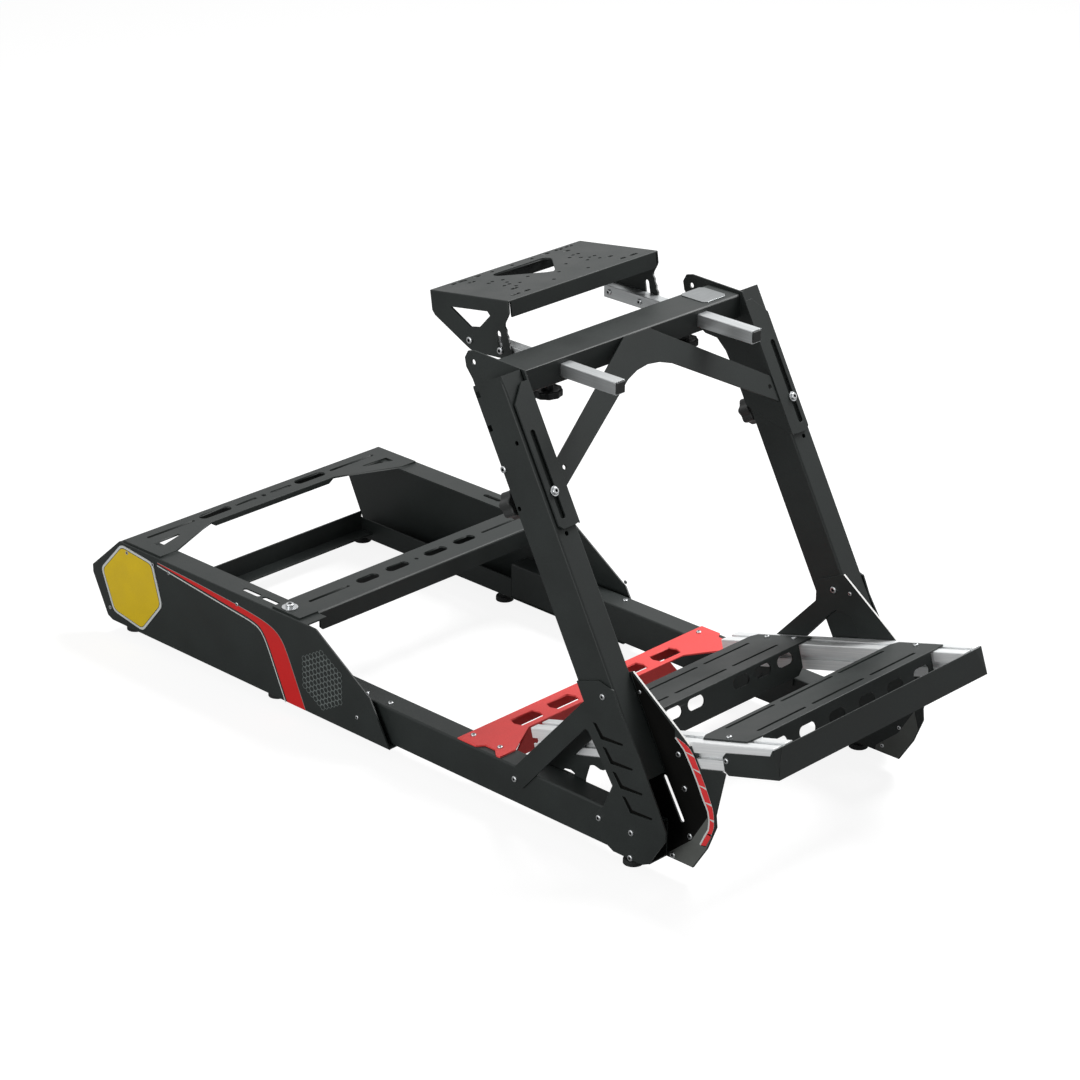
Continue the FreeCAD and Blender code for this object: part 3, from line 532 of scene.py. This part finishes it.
hex_nut = new_cylinder("hex nut", NUT, 0, NUT_TALL, 6)
bpy.ops.object.mode_set(mode="EDIT")
pick_edges(hex_nut, lambda edge: edge.calc_face_angle() > 0.8)
bpy.ops.mesh.bevel(offset=0.5 * MM, segments=2)
bpy.ops.object.mode_set(mode="OBJECT")
cut_away(hex_nut, new_cylinder("bore", STUD, -1, NUT_TALL + 2, 24))
smooth(hex_nut, 40)
long_stud = ridged_stud("long stud", PAD_TALL - 1, 38)
short_stud = ridged_stud("short stud", PAD_TALL - 1, 24)
for spot in ("rear", "mid", "front"):
    for word, side in SIDES:
        node = "%s_%s_foot" % (word, spot)
        low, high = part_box(node)
        x, y, under = (low.x + high.x) / 2 / MM, (low.y + high.y) / 2 / MM, high.z / MM
        pad = stand(foot_pad, node + "_pad", (x, y, 0), (0, 0, 1))
        finished(pad, black_rubber, "chassis")
        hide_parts(node)
        stand(short_stud if spot == "front" else long_stud, node + "_stud", (x, y, 0), (0, 0, 1))
        stand(hex_nut, node + "_lower_nut", (x, y, under - NUT_TALL - NUT_GAP), (0, 0, 1))
        if spot != "front":
            stand(hex_nut, node + "_upper_nut", (x, y, under + FLANGE), (0, 0, 1))

# Gussets: 3 mm plates on both faces of each upright and rail, laser cut with tread-shaped openings in the
# outer one, powder coated and bolted through the tubes.
OUTER_SCREWS = ((419.5, 255.5), (248.1, 62.5), (415.5, 62.5), (478.1, 62.5), (477.3, 22))
INNER_SCREWS = ((525.5, 188.5), (538.5, 139.5), (550.5, 68.5), (519.5, 26.5))
EDGE_SPOT = (450, 258.5)
TUBE_SPOT = (223, 540.5)
FIN_SPOTS = ((554.8, 72.7), (525.2, 32.2))
GUSSET = 3
OUTER_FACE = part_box("right_outer_gusset")[0].y / -MM
OUTER_BACK = OUTER_FACE - GUSSET
INNER_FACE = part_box("right_inner_gusset")[0].y / -MM
INNER_BACK = INNER_FACE - GUSSET
plate_screw = button_screw("plate screw", 4.6, 2.4)
for word, side in SIDES:
    dressed(word + "_outer_gusset", 0, 0.4)
    dressed(word + "_inner_gusset", 0, 0.4)
    row_on_face(plate_screw, word + "_gusset_screw", OUTER_SCREWS, side, OUTER_FACE)
    row_on_face(plate_screw, word + "_fin_screw", INNER_SCREWS, side, INNER_FACE)
    stand_on_face(low_screw, word + "_edge_screw", EDGE_SPOT, side, INNER_FACE)
    stand_on_face(low_screw, word + "_edge_screw_end", EDGE_SPOT, side, INNER_BACK, -1)
    row_on_face(low_screw, word + "_fin_screw_end", FIN_SPOTS, side, INNER_BACK, -1)
    stand_on_face(large_screw, word + "_gusset_screw_end", OUTER_SCREWS[0], side, INNER_BACK, -1)
    stand_on_face(large_screw, word + "_tube_screw", TUBE_SPOT, side, OUTER_BACK)

# Track print on the inner gussets: a black field of film with a white line and a row of red kerb blocks along
# the front edge of the plate. Black film behind the treads of the outer gussets is painted shade for their
# recesses.
black_print_and_shade_film = thin_film("black film, print and painted shade", "#121211", "#0f0f0e", 0.04)
fin_film = thin_film("printed film, dark grey", "#5c5f5c", "#545754")
kerb_film = thin_film("printed film, kerb red", "#e8393c", "#dc3235")
# A white band on the slanted top edge of each inner gusset is a painted highlight.
edge_highlight_film = thin_film("edge highlight, painted white", "#f2f2f0", "#e6e6e4")
KERB_INNER = ((517.5, 211), (534, 197.7), (547.6, 177.3), (560, 156.4), (571, 135), (580.5, 119),
              (583.2, 106), (582.5, 92), (575, 77.5), (568, 62.7))
KERB_OUTER = ((536, 209), (546, 205), (556, 194), (562, 183), (571, 168), (579.7, 152), (586, 139),
              (592, 126), (594, 113), (594.5, 99), (588, 78), (580, 62.5))
FIELD_TOP = ((434, 281.5), (476, 252.5), (517, 223.5))
FIN_LINE = ((581.2, 109.5), (552.5, 62.7), (513.4, 29.4))
FIELD_REAR = ((506, 27), (488, 60), (462, 100), (470, 134), (502.5, 151.5), (481, 192), (465.5, 220),
              (446, 256))
FIELD = FIELD_TOP + KERB_INNER[:6] + FIN_LINE + FIELD_REAR
FIN = FIN_LINE + ((512, 20.5), (556, 21), (581, 60), (590, 82))
SLOT = ((501.5, 143.5), (534.5, 88.5), 4)
HIGHLIGHT_EDGE = ((436.4, 285.2), (523, 224.5), (545.6, 207.8))
TREAD = ((398.5, 211), (409, 211), (422, 196), (461, 197), (460, 190.5), (415.5, 186.5))
TREAD_STEP = (19.3, -31.8)
KERB_BLOCKS = 7
KERB_REACH = 0.92
KERB_POINTS = 40
TRACK_LINE = 2.6


def along_line(line, share):
    """The point at a share of an open line's length."""
    spans = [(Vector(end) - Vector(start)).length for start, end in zip(line, line[1:])]
    left = share * sum(spans)
    for start, end, span in zip(line, line[1:], spans):
        if left <= span:
            return Vector(start).lerp(Vector(end), left / span)
        left -= span
    return Vector(line[-1])


def slot_outline(start, end, radius):
    """A round-ended slot between two centres."""
    turn = math.atan2(end[1] - start[1], end[0] - start[0])
    outline = []
    for centre, first in ((end, turn - math.pi / 2), (start, turn + math.pi / 2)):
        for step in range(9):
            angle = first + math.pi * step / 8
            outline.append((centre[0] + radius * math.cos(angle), centre[1] + radius * math.sin(angle)))
    return outline


# The black film at the bottom of each tread opening is painted shade; the track field further down is print.
for word, side in SIDES:
    for number in range(4):
        tread_shade = [(along + number * TREAD_STEP[0], up + number * TREAD_STEP[1]) for along, up in TREAD]
        flat_piece("%s_tread_%d" % (word, number), tread_shade, side, OUTER_BACK, FILM, black_print_and_shade_film)
for word, side in SIDES:
    field = flat_piece(word + "_track_field", FIELD, side, INNER_FACE, FILM, black_print_and_shade_film)
    cut_away(field, flat_piece("slot tool", slot_outline(*SLOT), side, INNER_FACE - 1, 2, black_print_and_shade_film))
    flat_piece(word + "_fin_print", FIN, side, INNER_FACE, FILM, fin_film)
    flat_piece(word + "_fin_print_inside", FIN, -side, -INNER_BACK, FILM, fin_film)
    # A 0.3 mm white band over the cut edge of the plate: the painted highlight.
    band = list(HIGHLIGHT_EDGE) + shifted(HIGHLIGHT_EDGE, -0.3)[::-1]
    flat_piece(word + "_painted_edge_highlight", band, side, INNER_BACK, GUSSET, edge_highlight_film)
    near_line = shifted(KERB_INNER, -TRACK_LINE)
    line = list(KERB_INNER) + near_line[::-1]
    flat_piece(word + "_track_line", line, side, INNER_FACE + FILM, FILM, white_film)
    far_line = []
    for step in range(KERB_POINTS + 1):
        near, far = along_line(near_line, step / KERB_POINTS), along_line(KERB_OUTER, step / KERB_POINTS)
        far_line.append(near.lerp(far, KERB_REACH))
    flat_piece(word + "_kerb_ground", near_line + far_line[::-1], side, INNER_FACE, FILM, white_film)
    for number in range(KERB_BLOCKS):
        block = []
        for gap, share in ((0.03, 0.03), (0.08, 0.97)):
            start, end = (number + gap) / KERB_BLOCKS, (number + 1 - gap) / KERB_BLOCKS
            steps = [start + (end - start) * step / 4 for step in range(5)]
            row = [along_line(near_line, step).lerp(along_line(far_line, step), share) for step in steps]
            block += row[::-1] if block else row
        flat_piece("%s_kerb_%d" % (word, number), block, side, INNER_FACE + FILM, FILM, kerb_film)

# Pedal rails: 40 mm slotted aluminium profile, extruded and anodised in its own silver colour, with fine draw
# lines along its length. They are bolted between the inner gussets.
TRAY_TILT = 16


def anodised(name, tilt, dark, light, metal):
    """Extruded and anodised aluminium: satin metal with draw lines along X, leant by tilt degrees."""
    material, tree, shader = new_material(name)
    place = add_node(tree, "ShaderNodeTexCoord").outputs["Object"]
    turn = {"Vector": place, "Rotation": (0, math.radians(tilt), 0)}
    turned = add_node(tree, "ShaderNodeMapping", turn).outputs["Vector"]
    stretch = {"Vector": turned, "Scale": (0.01, 1, 1)}
    lines = noise(tree, add_node(tree, "ShaderNodeMapping", stretch).outputs["Vector"], 1.2, 4)
    patch = noise(tree, place, 60, 3)
    gloss = add_node(tree, "ShaderNodeMapRange", {"Value": patch, 3: 0.3, 4: 0.42})
    bump = add_node(tree, "ShaderNodeBump", {"Height": lines, "Strength": 0.1, "Distance": 0.1 * MM})
    tree.links.new(tone_ramp(tree, lines, dark, light, 0.3, 0.7), shader.inputs["Base Color"])
    tree.links.new(gloss.outputs["Result"], shader.inputs["Roughness"])
    tree.links.new(bump.outputs["Normal"], shader.inputs["Normal"])
    shader.inputs["Metallic"].default_value = metal
    return material


rail_aluminium = anodised("anodised aluminium, pedal rails", TRAY_TILT, "#e2e5e6", "#f6f7f7", 0.3)
for word, side in SIDES:
    dressed(word + "_pedal_rail", 0, 0.4, rail_aluminium)

# Pedal plates, bumper and heel rest: 2 to 2.5 mm sheet steel, cut with slots and windows, folded and powder
# coated, the heel rest in red. Small screws hold them to the rails.
red_coat = grained_coat("powder coat, red", "#e34a48", "#f15452", 0.5, 1.6, 70, 0.3)
dressed("rear_pedal_plate", 2.5, 0.35)
dressed("front_pedal_plate", 2.5, 0.35)
dressed("front_bumper", 2, 0.35)
dressed("heel_rest", 2.5, 0.35, red_coat)
lean = math.radians(TRAY_TILT)
tray_along = Vector((math.cos(lean), 0, math.sin(lean)))
tray_up = Vector((-math.sin(lean), 0, math.cos(lean)))
TRAY = Vector((705, 0, 213))
BUMPER_CORNER = ((-1.2, 231.4, 42.2), (0.2, 215.2, 42), (0.4, 231.4, 2.5))
CORNER_SHEET = 1.2
PEDAL_SCREWS = (("front", -102), ("rear", -395), ("rear_edge", -340))
PEDAL_SCREW_LINE = 207
PEDAL_TOP = 47
BUMPER_SCREW = (-91, 232, 22)
HEEL_SCREWS = (137.5, 192.5)
HEEL_SCREW_LINE = 250
RAIL_SCREW = (-29.5, 260)
heel_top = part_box("heel_rest")[1].z / MM
rail_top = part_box("right_lower_rail")[1].z / MM


def on_tray(along, out, high):
    """A point of the tilted pedal tray, in millimetres."""
    return TRAY + along * tray_along + high * tray_up + Vector((0, out, 0))


small_screw = button_screw("small screw", 4.2, 2.2)
for word, side in SIDES:
    bpy.ops.object.select_all(action="DESELECT")
    bpy.ops.mesh.primitive_circle_add(vertices=3, radius=10 * MM, fill_type="NGON")
    flap = bpy.context.object
    flap.name = word + "_bumper_corner"
    for corner, (along, out, high) in zip(flap.data.vertices, BUMPER_CORNER):
        corner.co = on_tray(along, side * out, high) * MM
    flap.data.update()
    bpy.ops.object.modifier_add(type="SOLIDIFY")
    flap.modifiers[-1].thickness = CORNER_SHEET * MM
    flap.modifiers[-1].offset = 0
    bpy.ops.object.modifier_apply(modifier=flap.modifiers[-1].name)
    finished(flap, black_coat, "chassis")
for word, side in SIDES:
    for name, along in PEDAL_SCREWS:
        spot = on_tray(along, side * PEDAL_SCREW_LINE, PEDAL_TOP)
        stand(small_screw, "%s_%s_pedal_screw" % (word, name), spot, tray_up)
    along, out, high = BUMPER_SCREW
    stand(small_screw, word + "_bumper_screw", on_tray(along, side * out, high), (0, side, 0))
    for number, along in enumerate(HEEL_SCREWS):
        spot = (along, side * HEEL_SCREW_LINE, heel_top)
        stand(small_screw, "%s_heel_screw_%d" % (word, number), spot, (0, 0, 1))
    stand(small_screw, word + "_rail_screw", (RAIL_SCREW[0], side * RAIL_SCREW[1], rail_top), (0, 0, 1))

# Slide brackets, wheel beam and brace: 3 mm sheet, cut, folded and welded into one carriage that slides up
# and down the uprights, powder coated with them.
for word, side in SIDES:
    dressed(word + "_slide_bracket", 0, 0.4, body="carriage")
dressed("wheel_beam", 3, 0.4, body="carriage")
dressed("beam_brace", 0, 0.4, body="carriage")

# Label plate: a thin aluminium plate with cut corners, brushed along the beam and glued to its top near the
# left end.
brushed, tree, shader = new_material("brushed aluminium")
place = add_node(tree, "ShaderNodeTexCoord").outputs["Object"]
stretch = {"Vector": place, "Scale": (1, 0.02, 1)}
lines = noise(tree, add_node(tree, "ShaderNodeMapping", stretch).outputs["Vector"], 0.8, 5)
tree.links.new(tone_ramp(tree, lines, "#7f8283", "#9a9d9e", 0.3, 0.7), shader.inputs["Base Color"])
bump = add_node(tree, "ShaderNodeBump", {"Height": lines, "Strength": 0.15, "Distance": 0.1 * MM})
tree.links.new(bump.outputs["Normal"], shader.inputs["Normal"])
shader.inputs["Metallic"].default_value = 1
shader.inputs["Roughness"].default_value = 0.36
dressed("label_plate", 0, 0.3, brushed, "carriage")

# Reach arms: 20 mm square aluminium tube, drawn and anodised, sliding through the beam; black plastic caps, a
# little smaller than the tube, close their ends.
arm_aluminium = anodised("anodised aluminium, arms", 0, "#b7babb", "#cbcecf", 0.85)
black_plastic = grained_coat("moulded plastic, black", "#1b1c1c", "#242626", 0.5, 1.2, 25, 0.4)
for word, side in SIDES:
    dressed(word + "_reach_arm", 1.2, 0.3, arm_aluminium, "arms")
caps = dressed("arm_end_caps", 0, 0.8, black_plastic, "arms")
ARM_LINE = 145
ARM_MIDDLE = 655
ARM_SIDE = 20
CAP_SHARE = 0.84
for corner in caps.data.vertices:
    line = math.copysign(ARM_LINE * MM, corner.co.y)
    corner.co.y = line + CAP_SHARE * (corner.co.y - line)
    corner.co.z = ARM_MIDDLE * MM + CAP_SHARE * (corner.co.z - ARM_MIDDLE * MM)

# Wheel deck: 3 mm sheet, cut with a pattern of holes and slots for many wheel bases, folded into a plate on
# two cheeks. It turns on two bolts through the arms and is held by two more in curved slots.
dressed("wheel_deck", 3, 0.35, body="deck")
tilt_screw = button_screw("tilt screw", 5.4, 3)
HEAD_ROOM = 4
for word, side in SIDES:
    for spot in ("pivot", "lock"):
        node = "%s_tilt_%s_bolt" % (word, spot)
        low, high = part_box(node)
        x, z = (low.x + high.x) / 2 / MM, (low.z + high.z) / 2 / MM
        reach = max(abs(low.y), abs(high.y)) / MM
        head = stand(tilt_screw, node + "_head", (x, side * (reach - HEAD_ROOM), z), (0, side, 0), "arms")
        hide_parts(node)
        stand(plate_screw, node + "_end", (x, side * (ARM_LINE - ARM_SIDE / 2), z), (0, -side, 0), "arms")

# Clamp knobs: moulded star knobs on the height clamps behind the uprights, with a bright bolt and washer in
# front, and wide moulded discs on the hand screws under the beam.
UPRIGHT_LEAN = math.radians(28.7)
UPRIGHT_FOOT = Vector((369.5, 0, 394.5))
CLAMP_HEIGHT = 147
CLAMP_LINE = 256
STAR_BACK = 92.3
CLAMP_WASHER_OUT = 5.4
CLAMP_BOLT_OUT = 6.9
DISC_TALL = 11


def lobed_knob(name, radius, tall, lobes, depth):
    """A moulded knob with round lobes, standing on the origin."""
    knob = new_cylinder(name, radius, 0, tall, lobes * 12)
    for corner in knob.data.vertices:
        angle = math.atan2(corner.co.y, corner.co.x)
        shrink = 1 - depth * (0.5 - 0.5 * math.cos(lobes * angle))
        corner.co.x *= shrink
        corner.co.y *= shrink
    bpy.ops.object.mode_set(mode="EDIT")
    pick_edges(knob, lambda edge: edge.calc_face_angle() > 1)
    bpy.ops.mesh.bevel(offset=2.2 * MM, segments=4, clamp_overlap=True)
    pick_faces(knob, lambda face: abs(face.normal.z) > 0.99)
    bpy.ops.mesh.inset(thickness=4 * MM, depth=-0.8 * MM, use_individual=True)
    bpy.ops.object.mode_set(mode="OBJECT")
    smooth(knob, 45)
    return knob


star_knob = lobed_knob("star knob", 22, 22, 7, 0.14)
disc_knob = lobed_knob("disc knob", 23, DISC_TALL, 10, 0.06)
knob_collar = new_cylinder("knob collar", 9, 0, 20, 32)
bpy.ops.object.mode_set(mode="EDIT")
pick_edges(knob_collar, lambda edge: edge.calc_face_angle() > 1)
bpy.ops.mesh.bevel(offset=0.8 * MM, segments=3)
bpy.ops.object.mode_set(mode="OBJECT")
smooth(knob_collar, 40)
out = Vector((math.cos(UPRIGHT_LEAN), 0, math.sin(UPRIGHT_LEAN)))
up = Vector((-math.sin(UPRIGHT_LEAN), 0, math.cos(UPRIGHT_LEAN)))
for word, side in SIDES:
    clamp = UPRIGHT_FOOT + CLAMP_HEIGHT * up + Vector((0, side * CLAMP_LINE, 0))
    node = word + "_height_knob"
    knob = stand(star_knob, node + "_star", clamp - STAR_BACK * out, out)
    finished(knob, black_plastic, "chassis")
    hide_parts(node)
    stand(clamp_washer, node + "_washer", clamp + CLAMP_WASHER_OUT * out, out)
    stand(large_screw, node + "_bolt", clamp + CLAMP_BOLT_OUT * out, out)
    node = word + "_arm_knob"
    low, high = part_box(node)
    x, y, foot = (low.x + high.x) / 2 / MM, (low.y + high.y) / 2 / MM, low.z / MM
    disc = stand(disc_knob, node + "_disc", (x, y, foot), (0, 0, 1), "carriage")
    finished(disc, black_plastic, "carriage")
    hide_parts(node)
    collar = stand(knob_collar, node + "_collar", (x, y, foot + DISC_TALL), (0, 0, 1), "carriage")
    finished(collar, black_plastic, "carriage")

# The patterns that were copied are taken out of the scene.
for pattern in (low_screw, flush_screw, large_screw, bar_screw, plate_screw, small_screw, tilt_screw, washer,
                clamp_washer, hex_nut, foot_pad, long_stud, short_stud, star_knob, disc_knob, knob_collar):
    bpy.data.objects.remove(pattern)

# Stage: a floor that shows as white to the camera but keeps a soft shadow, one wide lamp high on the driver's
# left and a weaker one low on the right, as for a catalogue picture.
bpy.ops.object.select_all(action="DESELECT")
bpy.ops.mesh.primitive_plane_add(size=40)
floor = bpy.context.object
floor.name = "floor"
floor_white, tree, shader = new_material("studio floor, white")
shader.inputs["Base Color"].default_value = linear("#8c8c8c")
shader.inputs["Roughness"].default_value = 1
shader.inputs["Specular IOR Level"].default_value = 0
rays = add_node(tree, "ShaderNodeLightPath").outputs
faint = add_node(tree, "ShaderNodeMath", {0: rays["Is Glossy Ray"], 1: 0.2}, operation="MULTIPLY")
both = {0: rays["Is Camera Ray"], 1: faint.outputs["Value"]}
seen = add_node(tree, "ShaderNodeMath", both, operation="MAXIMUM")
tree.links.new(seen.outputs["Value"], shader.inputs["Emission Strength"])
shader.inputs["Emission Color"].default_value = (0.88, 0.88, 0.88, 1)
floor.data.materials.append(floor_white)

world = bpy.data.worlds.new("studio")
scene.world = world
world.use_nodes = True
tree = world.node_tree
rays = add_node(tree, "ShaderNodeLightPath").outputs
both = {0: rays["Is Camera Ray"], 1: rays["Is Glossy Ray"]}
seen = add_node(tree, "ShaderNodeMath", both, operation="MAXIMUM")
both = {0: seen.outputs["Value"], 1: rays["Is Transmission Ray"]}
seen = add_node(tree, "ShaderNodeMath", both, operation="MAXIMUM")
level = add_node(tree, "ShaderNodeMapRange", {"Value": seen.outputs["Value"], 3: 0.18, 4: 1})
tree.links.new(level.outputs["Result"], tree.nodes["Background"].inputs["Strength"])
tree.nodes["Background"].inputs["Color"].default_value = (1, 1, 1, 1)

LAMPS = (("key", (0.35, 2.2, 3.2), 1.6, 165), ("fill", (0.2, -3.3, 0.95), 1.8, 56))
LAMP_AIM = Vector((0, 0, 0.25))
for name, spot, size, power in LAMPS:
    bpy.ops.object.light_add(type="AREA", location=spot)
    lamp = bpy.context.object
    lamp.name = name
    lamp.data.size = size
    lamp.data.energy = power
    lamp.rotation_euler = (LAMP_AIM - Vector(spot)).to_track_quat("-Z", "Y").to_euler()

# The camera stands at the front right and looks down on the frame through a long lens. Its focal length is
# given in pixels of the photograph, which is PHOTO_SIDE pixels wide.
CAMERA_SPOT = (3.20934, -3.29598, 2.30232)
FOCAL_PIXELS = 3290.18
PHOTO_SIDE = 1080
SENSOR = 36
azimuth, elevation, roll = math.radians(43.97), math.radians(23.75), math.radians(0.37)
level = math.cos(elevation)
back = Vector((math.sin(azimuth) * level, -math.cos(azimuth) * level, math.sin(elevation)))
right = Vector((math.cos(azimuth), math.sin(azimuth), 0))
up = back.cross(right)
right, up = math.cos(roll) * right + math.sin(roll) * up, math.cos(roll) * up - math.sin(roll) * right
bpy.ops.object.camera_add()
camera = bpy.context.object
camera.name = "camera"
camera.matrix_world = Matrix.Translation(CAMERA_SPOT) @ Matrix((right, up, back)).transposed().to_4x4()
camera.data.sensor_fit = "HORIZONTAL"
camera.data.sensor_width = SENSOR
camera.data.lens = SENSOR * FOCAL_PIXELS / PHOTO_SIDE
camera.data.clip_end = 60
scene.camera = camera
scene.view_settings.view_transform = "Standard"

bpy.context.view_layer.update()
